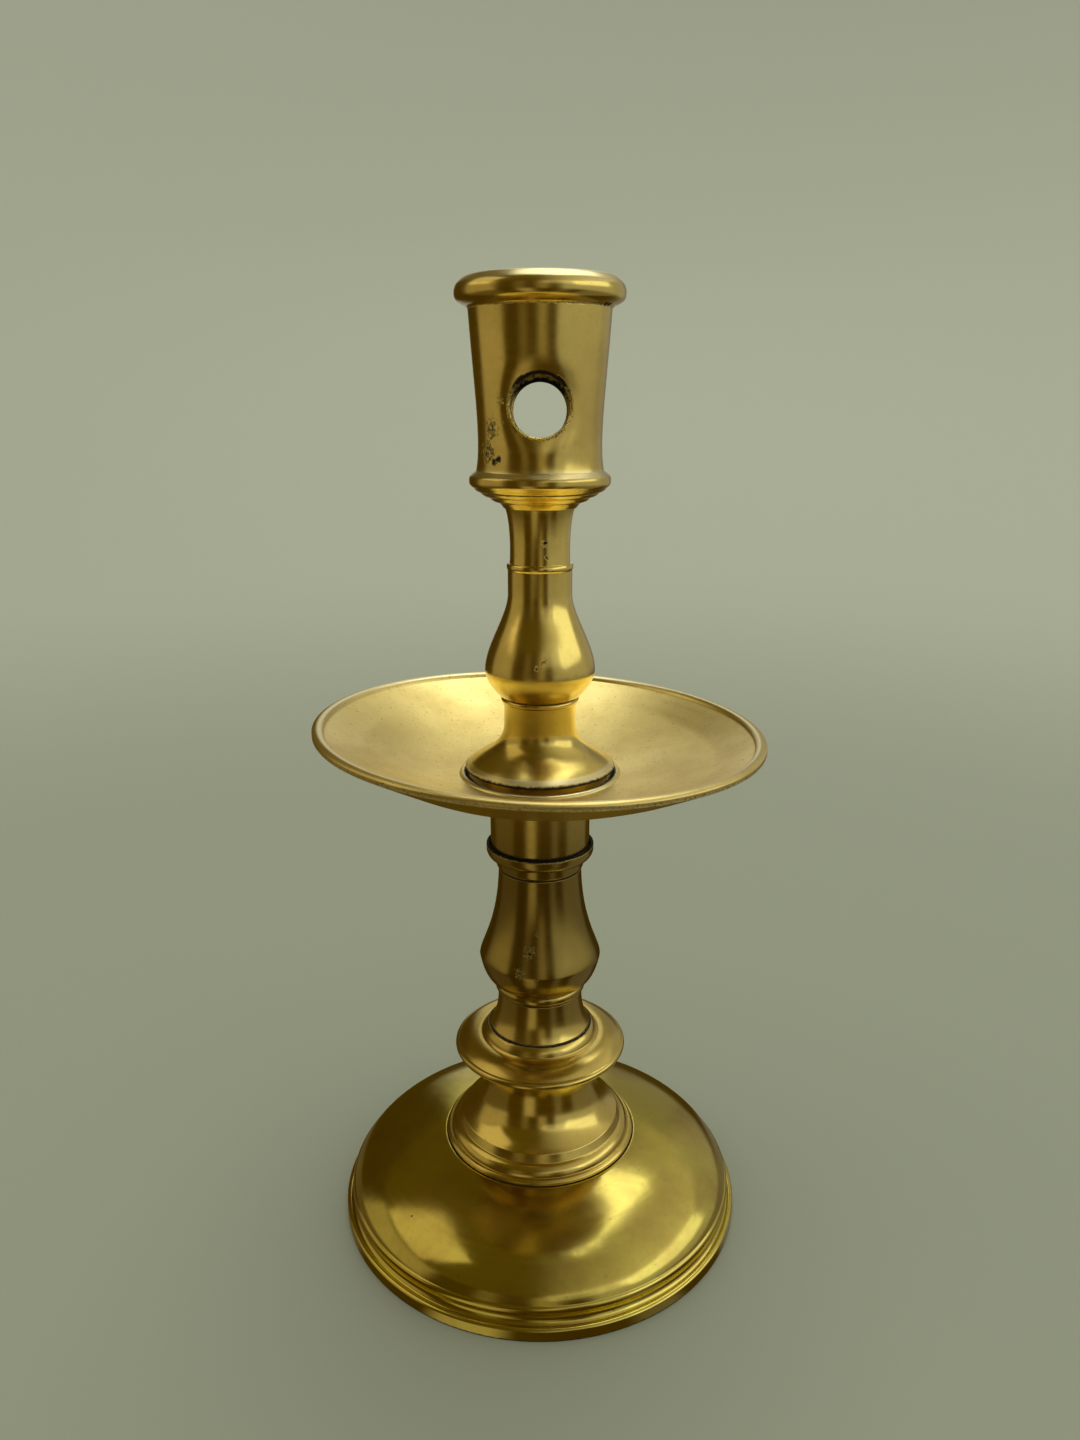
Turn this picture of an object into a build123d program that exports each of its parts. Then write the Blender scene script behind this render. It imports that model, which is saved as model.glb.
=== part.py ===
from build123d import *
from math import cos, radians, sin
import os

# A pillar candlestick of turned brass, with a drip pan halfway up, standing on XY with its axis on Z.
# Sizes are in millimetres. In each group the lengths run up the piece in the order in which they stack.

# Fits, and the thread that holds the upper half to the lower one
running_gap = 0.05
seated_gap = 0.02
cup_gap = 0.35
thread_pitch = 1.5
thread_turns = 8
thread_reserve = 0.75
thread_chamfer = 0.5

# Foot, a hollow casting shaped like a bun, with a bead round its edge and a cove above its rim
foot_radius = 44.5
foot_rim_height = 2.3
foot_lip_width = 1.3
foot_lip_length = 0.3
foot_lip_rise = 0.3
foot_cove_width = 0.6
foot_cove_length = 2.1
foot_cove_sag = 0.4
foot_bead_width = 0.1
foot_bead_length = 1.9
foot_bead_rise = 0.55
dome_length = 10.1
dome_leans = (-24, -81)
dome_shares = (0.25, 0.31)
foot_seat_margin = 0.5
foot_ground_width = 2.7
foot_wall = 2.3
foot_hollow_bevel = 2.0
foot_hollow_leans = (-14, -84)
foot_hollow_shares = (0.34, 0.36)
foot_hub_thickness = 3.0
foot_hub_radius = 20.0

# Pedestal, the spreading knop between the foot and the stem
flange_radius = 21.2
flange_edge_length = 0.7
flange_round = 0.5
flange_step = 0.6
flange_bead_length = 2.2
flange_bead_swell = 0.45
neck_foot_radius = 18.2
neck_crease_radius = 17.5
neck_crease_length = 1.7
neck_radius = 12.0
neck_lower_length = 9.7
neck_lower_leans = (-58, 0)
neck_lower_shares = (0.35, 0.45)
neck_top_radius = 13.6
neck_upper_length = 6.4
neck_upper_leans = (0, 28)
neck_upper_shares = (0.35, 0.30)
knop_radius = 18.84
knop_edge_round = 0.8
knop_under_length = 0.4
knop_edge_length = 1.6
knop_roll_radius = 13.0
knop_roll_length = 1.8
knop_roll_swell = 0.55
knop_cove_length = 0.4
knop_bead_radius = 12.5
knop_bead_top_radius = 11.25
knop_bead_length = 2.0
knop_bead_swell = 0.45
socket_radius = 6.05
socket_depth = 6.0

# Tie rod that pulls the foot, the pedestal and the lower baluster together
rod_radius = 3.0
rod_hole_radius = 3.3
rod_engagement = 12.0
rod_end_length = 2.0
washer_radius = 8.0
washer_thickness = 1.2
nut_across_flats = 10.0
nut_height = 5.0

# Lower baluster, with a shallow cup on top for the collar
lower_foot_radius = 11.05
lower_stem_radius = 9.15
lower_stem_length = 8.3
lower_stem_leans = (-32, 0)
lower_stem_shares = (0.30, 0.50)
lower_bead_length = 2.3
lower_bead_swell = 0.65
lower_bulb_foot_radius = 9.7
lower_bulb_radius = 13.12
lower_bulb_length = 6.7
lower_bulb_leans = (60, 2)
lower_bulb_shares = (0.33, 0.40)
lower_neck_radius = 8.82
lower_neck_length = 20.1
lower_neck_leans = (0, -1)
lower_neck_shares = (0.10, 0.60)
cup_band_radius = 9.25
cup_step_length = 0.6
cup_band_length = 1.8
cup_ovolo_radius = 9.6
cup_ovolo_length = 1.7
cup_ovolo_swell = 0.45
cup_lip_wall = 0.55
cup_lip_length = 1.3
cup_depth = 1.5

# Collar, the sleeve that carries the pan
collar_radius = 10.45
collar_length = 14.6

# Drip pan, a shallow cast dish with a raised ring round its centre
pan_radius = 46.0
pan_thickness = 2.6
pan_ring_overlap = 0.2
pan_ring_width = 1.5
pan_ring_rise = 0.5
pan_bowl_length = 9.3
pan_bowl_leans = (85, 63.5)
pan_under_leans = (86, 62)
pan_shares = (0.34, 0.34)
pan_lip_width = 2.4
pan_lip_rise = 0.9
pan_lip_edge_length = 0.9
pan_rim_thickness = 1.3

# Upper baluster, standing on the pan
boss_radius = 12.0
boss_height = 1.4
upper_foot_radius = 15.4
upper_foot_edge_length = 0.5
flare_length = 9.0
flare_leans = (-64, 0)
flare_shares = (0.52, 0.33)
waist_radius = 7.35
waist_length = 4.2
waist_bead_length = 1.3
waist_bead_swell = 0.6
upper_bulb_foot_radius = 8.2
upper_bulb_step_length = 0.3
upper_bulb_radius = 11.12
upper_bulb_length = 5.3
upper_bulb_leans = (42, 1)
upper_bulb_shares = (0.35, 0.35)
upper_neck_radius = 6.4
upper_shoulder_length = 15.4
upper_shoulder_leans = (0, 0)
upper_shoulder_shares = (0.30, 0.27)
upper_neck_length = 4.7
neck_ring_length = 1.3
neck_ring_swell = 0.2
throat_foot_radius = 6.0
throat_radius = 5.9
throat_length = 10.7
upper_top_radius = 6.4
tenon_radius = 3.5
tenon_length = 6.0

# Stem screw, fixed in the upper baluster and screwed into the lower one
screw_radius = 4.0
screw_hold = 12.0

# Candle nozzle, with a round window through both walls that slopes down to the back
cone_foot_radius = 6.5
cone_top_radius = 9.9
cone_length = 3.4
cone_leans = (28, 56)
cone_shares = (0.35, 0.30)
under_step_radius = 10.5
under_step_length = 0.8
moulding_foot_radius = 12.9
moulding_foot_length = 0.6
moulding_radius = 13.5
moulding_lower_length = 1.1
moulding_upper_length = 2.0
nozzle_foot_radius = 12.15
nozzle_body_length = 28.1
nozzle_body_leans = (-9, 3.5)
nozzle_body_shares = (0.20, 0.40)
nozzle_top_radius = 13.4
rim_band_radius = 15.55
rim_band_length = 2.0
rim_band_swell = 0.45
rim_radius = 15.75
rim_face_length = 1.9
rim_crown_radius = 13.5
rim_crown_length = 1.7
rim_crown_swell = 0.5
candle_radius = 10.2
mouth_width = 1.2
mouth_drop = 0.3
mouth_length = 1.2
mouth_swell = 0.2
nozzle_floor_thickness = 4.1
window_radius = 5.52
window_sill = 2.8
window_slope = 2.4


def turned(low, high, leans, shares):
    """Smooth curve from low up to high. Leans are its end angles from upright, in degrees outward."""
    start = Vector(*low)
    end = Vector(*high)
    span = (end - start).length
    leave = Vector(sin(radians(leans[0])), cos(radians(leans[0])))
    arrive = Vector(sin(radians(leans[1])), cos(radians(leans[1])))
    Bezier(start, start + leave * (span * shares[0]), end - arrive * (span * shares[1]), end)


# Foot
rim_z = foot_rim_height
lip_z = rim_z + foot_lip_length
cove_top_z = lip_z + foot_cove_length
dome_foot_z = cove_top_z + foot_bead_length
seam_z = dome_foot_z + dome_length
hub_under_z = seam_z - foot_hub_thickness
ground_inside = (foot_radius - foot_ground_width, 0)
rim_edge = (foot_radius, rim_z)
lip_inside = (foot_radius - foot_lip_width, lip_z)
cove_top = (lip_inside[0] - foot_cove_width, cove_top_z)
dome_foot = (cove_top[0] - foot_bead_width, dome_foot_z)
dome_crown = (flange_radius + foot_seat_margin, seam_z)
hollow_foot = (dome_foot[0] - foot_wall, foot_hollow_bevel)
hollow_crown = (foot_hub_radius, hub_under_z)

with BuildPart() as foot:
    with BuildSketch(Plane.XZ):
        with BuildLine():
            Polyline(ground_inside, (foot_radius, 0), rim_edge)
            SagittaArc(rim_edge, lip_inside, -foot_lip_rise)
            SagittaArc(lip_inside, cove_top, foot_cove_sag)
            SagittaArc(cove_top, dome_foot, -foot_bead_rise)
            turned(dome_foot, dome_crown, dome_leans, dome_shares)
            Polyline(dome_crown, (rod_hole_radius, seam_z), (rod_hole_radius, hub_under_z), hollow_crown)
            turned(hollow_foot, hollow_crown, foot_hollow_leans, foot_hollow_shares)
            Line(hollow_foot, ground_inside)
        make_face()
    revolve(axis=Axis.Z)
foot.part.label = "foot"

# Pedestal
flange_top_z = seam_z + flange_edge_length + flange_round
neck_foot_z = flange_top_z + flange_bead_length
neck_crease_z = neck_foot_z + neck_crease_length
neck_z = neck_crease_z + neck_lower_length
neck_top_z = neck_z + neck_upper_length
knop_under_z = neck_top_z + knop_under_length
knop_shoulder_z = knop_under_z + knop_edge_length
roll_top_z = knop_shoulder_z + knop_roll_length
bead_foot_z = roll_top_z + knop_cove_length
knop_z = bead_foot_z + knop_bead_length
socket_floor_z = knop_z - socket_depth
flange_foot = (flange_radius, seam_z)
flange_edge = (flange_radius, seam_z + flange_edge_length)
flange_inside = (flange_radius - flange_round, flange_top_z)
flange_bead = (flange_inside[0] - flange_step, flange_top_z)
neck_foot = (neck_foot_radius, neck_foot_z)
neck_crease = (neck_crease_radius, neck_crease_z)
neck_middle = (neck_radius, neck_z)
neck_top = (neck_top_radius, neck_top_z)
knop_under = (knop_radius - knop_edge_round, knop_under_z)
knop_side = (knop_radius, (knop_under_z + knop_shoulder_z) / 2)
knop_shoulder = (knop_radius - knop_edge_round, knop_shoulder_z)
roll_top = (knop_roll_radius, roll_top_z)
bead_foot = (knop_bead_radius, bead_foot_z)
bead_top = (knop_bead_top_radius, knop_z)
socket_floor = (socket_radius, socket_floor_z)

with BuildPart() as pedestal:
    with BuildSketch(Plane.XZ):
        with BuildLine():
            Polyline((rod_hole_radius, seam_z), flange_foot, flange_edge, flange_inside, flange_bead)
            SagittaArc(flange_bead, neck_foot, -flange_bead_swell)
            Line(neck_foot, neck_crease)
            turned(neck_crease, neck_middle, neck_lower_leans, neck_lower_shares)
            turned(neck_middle, neck_top, neck_upper_leans, neck_upper_shares)
            Line(neck_top, knop_under)
            ThreePointArc(knop_under, knop_side, knop_shoulder)
            SagittaArc(knop_shoulder, roll_top, -knop_roll_swell)
            Line(roll_top, bead_foot)
            SagittaArc(bead_foot, bead_top, -knop_bead_swell)
            Polyline(bead_top, (socket_radius, knop_z), socket_floor, (rod_hole_radius, socket_floor_z))
            Line((rod_hole_radius, socket_floor_z), (rod_hole_radius, seam_z))
        make_face()
    revolve(axis=Axis.Z)
pedestal.part.label = "pedestal"

# Tie rod, washer and nut, up under the foot
nut_top_z = hub_under_z - washer_thickness
nut_foot_z = nut_top_z - nut_height
rod_foot_z = nut_foot_z - rod_end_length
rod_top_z = socket_floor_z + rod_engagement
rod_thread_radius = rod_radius + seated_gap

with BuildPart() as tie_rod:
    with BuildSketch(Plane.XY.offset(rod_foot_z)):
        Circle(rod_radius)
    extrude(amount=rod_top_z - rod_foot_z)
    chamfer(tie_rod.edges().filter_by(GeomType.CIRCLE), length=thread_chamfer)
tie_rod.part.label = "tie_rod"

with BuildPart() as washer:
    with BuildSketch(Plane.XY.offset(nut_top_z)):
        Circle(washer_radius)
        Circle(rod_hole_radius, mode=Mode.SUBTRACT)
    extrude(amount=washer_thickness)
washer.part.label = "washer"

with BuildPart() as nut:
    with BuildSketch(Plane.XY.offset(nut_foot_z)):
        RegularPolygon(nut_across_flats / 2, 6, major_radius=False)
        Circle(rod_thread_radius, mode=Mode.SUBTRACT)
    extrude(amount=nut_height)
nut.part.label = "nut"

# Lower baluster
lower_stem_z = knop_z + lower_stem_length
bulb_seat_z = lower_stem_z + lower_bead_length
lower_bulb_z = bulb_seat_z + lower_bulb_length
lower_neck_z = lower_bulb_z + lower_neck_length
cup_band_z = lower_neck_z + cup_step_length
cup_ovolo_z = cup_band_z + cup_band_length
cup_lip_foot_z = cup_ovolo_z + cup_ovolo_length
cup_lip_z = cup_lip_foot_z + cup_lip_length
cup_floor_z = cup_lip_z - cup_depth
screw_foot_z = cup_floor_z - thread_pitch * thread_turns - thread_reserve
screw_hole_z = screw_foot_z - thread_reserve
screw_hole_radius = screw_radius + running_gap
cup_radius = collar_radius + cup_gap
spigot_radius = socket_radius - seated_gap
spigot_foot = (spigot_radius, socket_floor_z)
stem_foot = (lower_foot_radius, knop_z)
stem_top = (lower_stem_radius, lower_stem_z)
bulb_bead_top = (lower_stem_radius, bulb_seat_z)
lower_bulb_foot = (lower_bulb_foot_radius, bulb_seat_z)
lower_bulb = (lower_bulb_radius, lower_bulb_z)
lower_neck = (lower_neck_radius, lower_neck_z)
cup_band_top = (cup_band_radius, cup_ovolo_z)
cup_ovolo_foot = (cup_ovolo_radius, cup_ovolo_z)
cup_lip_foot = (cup_radius + cup_lip_wall, cup_lip_foot_z)
cup_lip = (cup_radius + cup_lip_wall, cup_lip_z)
cup_floor = (cup_radius, cup_floor_z)
screw_hole_top = (screw_hole_radius, cup_floor_z)

with BuildPart() as lower_baluster:
    with BuildSketch(Plane.XZ):
        with BuildLine():
            Polyline((0, rod_top_z), (rod_thread_radius, rod_top_z), (rod_thread_radius, socket_floor_z))
            Polyline((rod_thread_radius, socket_floor_z), spigot_foot, (spigot_radius, knop_z), stem_foot)
            turned(stem_foot, stem_top, lower_stem_leans, lower_stem_shares)
            SagittaArc(stem_top, bulb_bead_top, -lower_bead_swell)
            Line(bulb_bead_top, lower_bulb_foot)
            turned(lower_bulb_foot, lower_bulb, lower_bulb_leans, lower_bulb_shares)
            turned(lower_bulb, lower_neck, lower_neck_leans, lower_neck_shares)
            Polyline(lower_neck, (cup_band_radius, cup_band_z), cup_band_top, cup_ovolo_foot)
            SagittaArc(cup_ovolo_foot, cup_lip_foot, -cup_ovolo_swell)
            Polyline(cup_lip_foot, cup_lip, (cup_radius, cup_lip_z), cup_floor, screw_hole_top)
            Polyline(screw_hole_top, (screw_hole_radius, screw_hole_z), (0, screw_hole_z), (0, rod_top_z))
        make_face()
    revolve(axis=Axis.Z)
lower_baluster.part.label = "lower_baluster"

# Collar
pan_under_z = cup_floor_z + collar_length

with BuildPart() as pan_collar:
    with BuildSketch(Plane.XY.offset(cup_floor_z)):
        Circle(collar_radius)
        Circle(screw_hole_radius, mode=Mode.SUBTRACT)
    extrude(amount=collar_length)
pan_collar.part.label = "pan_collar"

# Drip pan
pan_top_z = pan_under_z + pan_thickness
pan_ring = (upper_foot_radius - pan_ring_overlap, pan_top_z)
bowl_foot = (pan_ring[0] + pan_ring_width, pan_top_z)
bowl_edge = (pan_radius - pan_lip_width, pan_top_z + pan_bowl_length)
lip_crest = (pan_radius - pan_lip_width / 2, bowl_edge[1] + pan_lip_rise)
lip_edge = (pan_radius, bowl_edge[1] + pan_lip_edge_length / 2)
lip_foot = (pan_radius, bowl_edge[1] - pan_lip_edge_length / 2)
under_edge = (bowl_edge[0], lip_foot[1] - pan_rim_thickness)
under_foot = (bowl_foot[0], pan_under_z)

with BuildPart() as drip_pan:
    with BuildSketch(Plane.XZ):
        with BuildLine():
            Polyline((screw_hole_radius, pan_under_z), (screw_hole_radius, pan_top_z), pan_ring)
            SagittaArc(pan_ring, bowl_foot, pan_ring_rise)
            turned(bowl_foot, bowl_edge, pan_bowl_leans, pan_shares)
            ThreePointArc(bowl_edge, lip_crest, lip_edge)
            Polyline(lip_edge, lip_foot, under_edge)
            turned(under_foot, under_edge, pan_under_leans, pan_shares)
            Line(under_foot, (screw_hole_radius, pan_under_z))
        make_face()
    revolve(axis=Axis.Z)
drip_pan.part.label = "drip_pan"

# Upper baluster
upper_foot_z = pan_top_z + boss_height
flare_foot_z = upper_foot_z + upper_foot_edge_length
waist_z = flare_foot_z + flare_length
waist_top_z = waist_z + waist_length
waist_bead_z = waist_top_z + waist_bead_length
upper_bulb_foot_z = waist_bead_z + upper_bulb_step_length
upper_bulb_z = upper_bulb_foot_z + upper_bulb_length
upper_neck_z = upper_bulb_z + upper_shoulder_length
neck_ring_z = upper_neck_z + upper_neck_length
throat_foot_z = neck_ring_z + neck_ring_length
nozzle_z = throat_foot_z + throat_length
tenon_top_z = nozzle_z + tenon_length
screw_top_z = pan_top_z + screw_hold
screw_seat_radius = screw_radius + seated_gap
flare_foot = (upper_foot_radius, flare_foot_z)
waist = (waist_radius, waist_z)
waist_top = (waist_radius, waist_top_z)
waist_bead_top = (waist_radius, waist_bead_z)
upper_bulb_foot = (upper_bulb_foot_radius, upper_bulb_foot_z)
upper_bulb = (upper_bulb_radius, upper_bulb_z)
upper_neck = (upper_neck_radius, upper_neck_z)
neck_ring_foot = (upper_neck_radius, neck_ring_z)
neck_ring_top = (upper_neck_radius, throat_foot_z)
throat_foot = (throat_foot_radius, throat_foot_z)
throat = (throat_radius, (throat_foot_z + nozzle_z) / 2)
upper_top = (upper_top_radius, nozzle_z)
boss_foot = (boss_radius, pan_top_z)

with BuildPart() as upper_baluster:
    with BuildSketch(Plane.XZ):
        with BuildLine():
            Polyline((0, screw_top_z), (screw_seat_radius, screw_top_z), (screw_seat_radius, pan_top_z))
            Polyline((screw_seat_radius, pan_top_z), boss_foot, (boss_radius, upper_foot_z))
            Polyline((boss_radius, upper_foot_z), (upper_foot_radius, upper_foot_z), flare_foot)
            turned(flare_foot, waist, flare_leans, flare_shares)
            Line(waist, waist_top)
            SagittaArc(waist_top, waist_bead_top, -waist_bead_swell)
            Line(waist_bead_top, upper_bulb_foot)
            turned(upper_bulb_foot, upper_bulb, upper_bulb_leans, upper_bulb_shares)
            turned(upper_bulb, upper_neck, upper_shoulder_leans, upper_shoulder_shares)
            Line(upper_neck, neck_ring_foot)
            SagittaArc(neck_ring_foot, neck_ring_top, -neck_ring_swell)
            Line(neck_ring_top, throat_foot)
            ThreePointArc(throat_foot, throat, upper_top)
            Polyline(upper_top, (tenon_radius, nozzle_z), (tenon_radius, tenon_top_z))
            Polyline((tenon_radius, tenon_top_z), (0, tenon_top_z), (0, screw_top_z))
        make_face()
    revolve(axis=Axis.Z)
upper_baluster.part.label = "upper_baluster"

# Stem screw
with BuildPart() as stem_screw:
    with BuildSketch(Plane.XY.offset(screw_foot_z)):
        Circle(screw_radius)
    extrude(amount=screw_top_z - screw_foot_z)
    chamfer(stem_screw.edges().filter_by(GeomType.CIRCLE), length=thread_chamfer)
stem_screw.part.label = "stem_screw"

# Candle nozzle
cone_top_z = nozzle_z + cone_length
under_step_z = cone_top_z + under_step_length
moulding_foot_z = under_step_z + moulding_foot_length
moulding_z = moulding_foot_z + moulding_lower_length
nozzle_foot_z = moulding_z + moulding_upper_length
rim_foot_z = nozzle_foot_z + nozzle_body_length
rim_band_z = rim_foot_z + rim_band_length
rim_face_z = rim_band_z + rim_face_length
top_z = rim_face_z + rim_crown_length
floor_z = tenon_top_z + nozzle_floor_thickness
window_z = floor_z + window_sill + window_radius
tenon_hole_radius = tenon_radius + seated_gap
tenon_hole_top = (tenon_hole_radius, tenon_top_z)
cone_foot = (cone_foot_radius, nozzle_z)
cone_top = (cone_top_radius, cone_top_z)
moulding_foot = (moulding_foot_radius, moulding_foot_z)
moulding_edge = (moulding_radius, moulding_z)
nozzle_foot = (nozzle_foot_radius, nozzle_foot_z)
rim_foot = (nozzle_top_radius, rim_foot_z)
rim_band_top = (rim_band_radius, rim_band_z)
rim_side = (rim_radius, (rim_band_z + rim_face_z) / 2)
rim_face_top = (rim_band_radius, rim_face_z)
rim_crown = (rim_crown_radius, top_z)
mouth_edge = (candle_radius + mouth_width, top_z - mouth_drop)
bore_top = (candle_radius, mouth_edge[1] - mouth_length)
bore_floor = (candle_radius, floor_z)

with BuildPart() as candle_nozzle:
    with BuildSketch(Plane.XZ):
        with BuildLine():
            Polyline((0, tenon_top_z), tenon_hole_top, (tenon_hole_radius, nozzle_z), cone_foot)
            turned(cone_foot, cone_top, cone_leans, cone_shares)
            Polyline(cone_top, (under_step_radius, under_step_z), moulding_foot)
            ThreePointArc(moulding_foot, moulding_edge, nozzle_foot)
            turned(nozzle_foot, rim_foot, nozzle_body_leans, nozzle_body_shares)
            SagittaArc(rim_foot, rim_band_top, -rim_band_swell)
            ThreePointArc(rim_band_top, rim_side, rim_face_top)
            SagittaArc(rim_face_top, rim_crown, -rim_crown_swell)
            Line(rim_crown, mouth_edge)
            SagittaArc(mouth_edge, bore_top, -mouth_swell)
            Polyline(bore_top, bore_floor, (0, floor_z), (0, tenon_top_z))
        make_face()
    revolve(axis=Axis.Z)
    with Locations(Location((0, 0, window_z), (90 - window_slope, 0, 0))):
        Cylinder(window_radius, 2 * rim_radius, mode=Mode.SUBTRACT)
candle_nozzle.part.label = "candle_nozzle"

lower_pieces = (foot, pedestal, tie_rod, washer, nut, lower_baluster)
upper_pieces = (pan_collar, drip_pan, upper_baluster, stem_screw, candle_nozzle)
os.makedirs("parts", exist_ok=True)
for piece in lower_pieces + upper_pieces:
    export_step(piece.part, f"parts/{piece.part.label}.step")
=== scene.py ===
from math import atan2, cos, hypot, pi, radians, sin, sqrt, tan

import bmesh
import bpy
from mathutils import Matrix, Vector


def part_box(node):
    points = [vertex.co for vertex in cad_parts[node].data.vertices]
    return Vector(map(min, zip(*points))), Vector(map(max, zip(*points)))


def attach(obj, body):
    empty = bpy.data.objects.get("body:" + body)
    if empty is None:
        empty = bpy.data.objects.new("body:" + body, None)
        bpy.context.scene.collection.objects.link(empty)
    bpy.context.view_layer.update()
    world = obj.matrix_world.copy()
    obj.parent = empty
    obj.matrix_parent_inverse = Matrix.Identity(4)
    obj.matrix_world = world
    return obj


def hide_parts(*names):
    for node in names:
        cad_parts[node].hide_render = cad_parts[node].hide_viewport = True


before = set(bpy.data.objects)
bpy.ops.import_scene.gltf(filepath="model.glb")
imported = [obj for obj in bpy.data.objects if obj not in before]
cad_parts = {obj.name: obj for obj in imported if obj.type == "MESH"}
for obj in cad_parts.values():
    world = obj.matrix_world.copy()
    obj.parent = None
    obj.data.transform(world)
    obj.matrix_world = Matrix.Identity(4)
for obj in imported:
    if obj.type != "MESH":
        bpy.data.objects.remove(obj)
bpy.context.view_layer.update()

# A pillar candlestick of turned brass. Lengths are in millimetres, and MM turns them to Blender's metres.
# Each turned piece is the outline of its half section, in points of radius and height, up its outside and
# down its inside. A seam is a radius, a height and how far its dirt and painted shade reach, and a worn
# place is the same for its wear and painted highlight.
MM = 0.001
AROUND = 192
AROUND_WIDE = 256
LEAST_STEP = 0.001
WELD = 0.002
EDGE_ROUND = 0.12
EDGE_ROUND_SHARE = 0.4
EDGE_ROUND_STEPS = 3
CORNER_ANGLE = radians(24)
SHARP_ANGLE = radians(32)
SEAM_MARGIN = 1.2
SEAM_ROW_SHARE = 0.35


def foot_of(node):
    """Height of a CAD node's lowest point, in millimetres."""
    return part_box(node)[0].z / MM


def top_of(node):
    """Height of a CAD node's highest point, in millimetres."""
    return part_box(node)[1].z / MM


def radius_of(node):
    """Greatest radius of a CAD node, in millimetres."""
    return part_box(node)[1].x / MM


class Outline:
    """The half section of one turned piece, drawn from point to point."""

    def __init__(self, start):
        self.points = [start]

    def line(self, *points):
        self.points += points
        return self

    def swell(self, end, rise, steps=10):
        """A shallow arc. It bulges out of the metal by its rise, and hollows it where that is negative."""
        start = Vector(self.points[-1])
        end = Vector(end)
        along = (end - start).normalized()
        outward = Vector((along.y, -along.x)) * (1 if rise > 0 else -1)
        half = (end - start).length / 2
        bend = (half * half + rise * rise) / (2 * abs(rise))
        centre = (start + end) / 2 + outward * (abs(rise) - bend)
        reach = atan2(half, bend - abs(rise))
        for step in range(1, steps + 1):
            turn = reach * (2 * step / steps - 1)
            point = centre + outward * (bend * cos(turn)) + along * (bend * sin(turn))
            self.points.append((point.x, point.y))
        return self

    def curve(self, end, leans, shares, steps=32):
        """A smooth curve. Its leans are its end angles from upright, in degrees outward as it climbs."""
        start = Vector(self.points[-1])
        end = Vector(end)
        span = (end - start).length
        leave = Vector((sin(radians(leans[0])), cos(radians(leans[0])))) * (span * shares[0])
        arrive = Vector((sin(radians(leans[1])), cos(radians(leans[1])))) * (span * shares[1])
        for step in range(1, steps + 1):
            share = step / steps
            rest = 1 - share
            point = start * rest**3 + (start + leave) * (3 * rest * rest * share)
            point += (end - arrive) * (3 * rest * share * share) + end * share**3
            self.points.append((point.x, point.y))
        return self


def eased(points):
    """The outline with its sharp corners rounded a little."""
    made = [points[0]]
    for before, corner, after in zip(points, points[1:], points[2:]):
        corner = Vector(corner)
        arriving = corner - Vector(before)
        leaving = Vector(after) - corner
        if arriving.angle(leaving) < CORNER_ANGLE:
            made.append(tuple(corner))
            continue
        size = min(EDGE_ROUND, EDGE_ROUND_SHARE * arriving.length, EDGE_ROUND_SHARE * leaving.length)
        start = corner - arriving.normalized() * size
        end = corner + leaving.normalized() * size
        for step in range(EDGE_ROUND_STEPS + 1):
            share = step / EDGE_ROUND_STEPS
            made.append(tuple(start * (1 - share)**2 + corner * (2 * share * (1 - share)) + end * share**2))
    return made + [points[-1]]


def with_seam_rows(points, seams):
    """The outline with extra points where the dirt and painted shade in a seam fade out."""
    made = [points[0]]
    for start, end in zip(points, points[1:]):
        waiting = [(Vector(start), Vector(end))]
        while waiting:
            low, high = waiting.pop()
            length = (high - low).length
            close = False
            for radius, height, reach in seams:
                place = Vector((radius, height))
                share = (place - low).dot(high - low) / length**2
                nearest = low + (high - low) * min(1, max(0, share))
                near = (place - nearest).length < SEAM_MARGIN * reach
                close = close or (near and length > SEAM_ROW_SHARE * reach)
            if close:
                middle = (low + high) / 2
                waiting += [(middle, high), (low, middle)]
            else:
                made.append(tuple(high))
    return made


def half_section(rows):
    """A bmesh with a half section, given in radius and height, as a line of edges towards the front."""
    bm = bmesh.new()
    verts = [bm.verts.new((0, -radius * MM, height * MM)) for radius, height in rows]
    for low, high in zip(verts, verts[1:]):
        bm.edges.new((low, high))
    return bm


def turn_on_lathe(outline, seams=(), around=AROUND):
    """Spins an outline round the candlestick's axis. An eighth from the front is spun, then copied round."""
    points = [outline.points[0]]
    for point in outline.points[1:]:
        if hypot(point[0] - points[-1][0], point[1] - points[-1][1]) > LEAST_STEP:
            points.append(point)
    bm = half_section(with_seam_rows(eased(points), seams))
    bmesh.ops.spin(
        bm, geom=bm.verts[:] + bm.edges[:], cent=(0, 0, 0), axis=(0, 0, 1), dvec=(0, 0, 0), angle=pi / 4,
        steps=around // 8, use_duplicate=False,
    )
    for turn in (pi / 4, pi / 2, pi):
        copied = bmesh.ops.duplicate(bm, geom=bm.verts[:] + bm.edges[:] + bm.faces[:])["geom"]
        moved = [item for item in copied if isinstance(item, bmesh.types.BMVert)]
        bmesh.ops.rotate(bm, verts=moved, cent=(0, 0, 0), matrix=Matrix.Rotation(turn, 3, "Z"))
    bmesh.ops.remove_doubles(bm, verts=bm.verts, dist=WELD * MM)
    return bm


def nearness(radius, height, places):
    """How near a point is to the nearest place: 1 on the place, and 0 at its reach or beyond."""
    return max([1 - hypot(radius - place[0], height - place[1]) / place[2] for place in places] + [0])


def smooth_object(bm, name):
    """Turns a bmesh into a smooth object of the scene."""
    bmesh.ops.recalc_face_normals(bm, faces=bm.faces)
    mesh = bpy.data.meshes.new(name)
    bm.to_mesh(mesh)
    bm.free()
    mesh.polygons.foreach_set("use_smooth", [True] * len(mesh.polygons))
    made = bpy.data.objects.new(name, mesh)
    bpy.context.scene.collection.objects.link(made)
    return made


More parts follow.
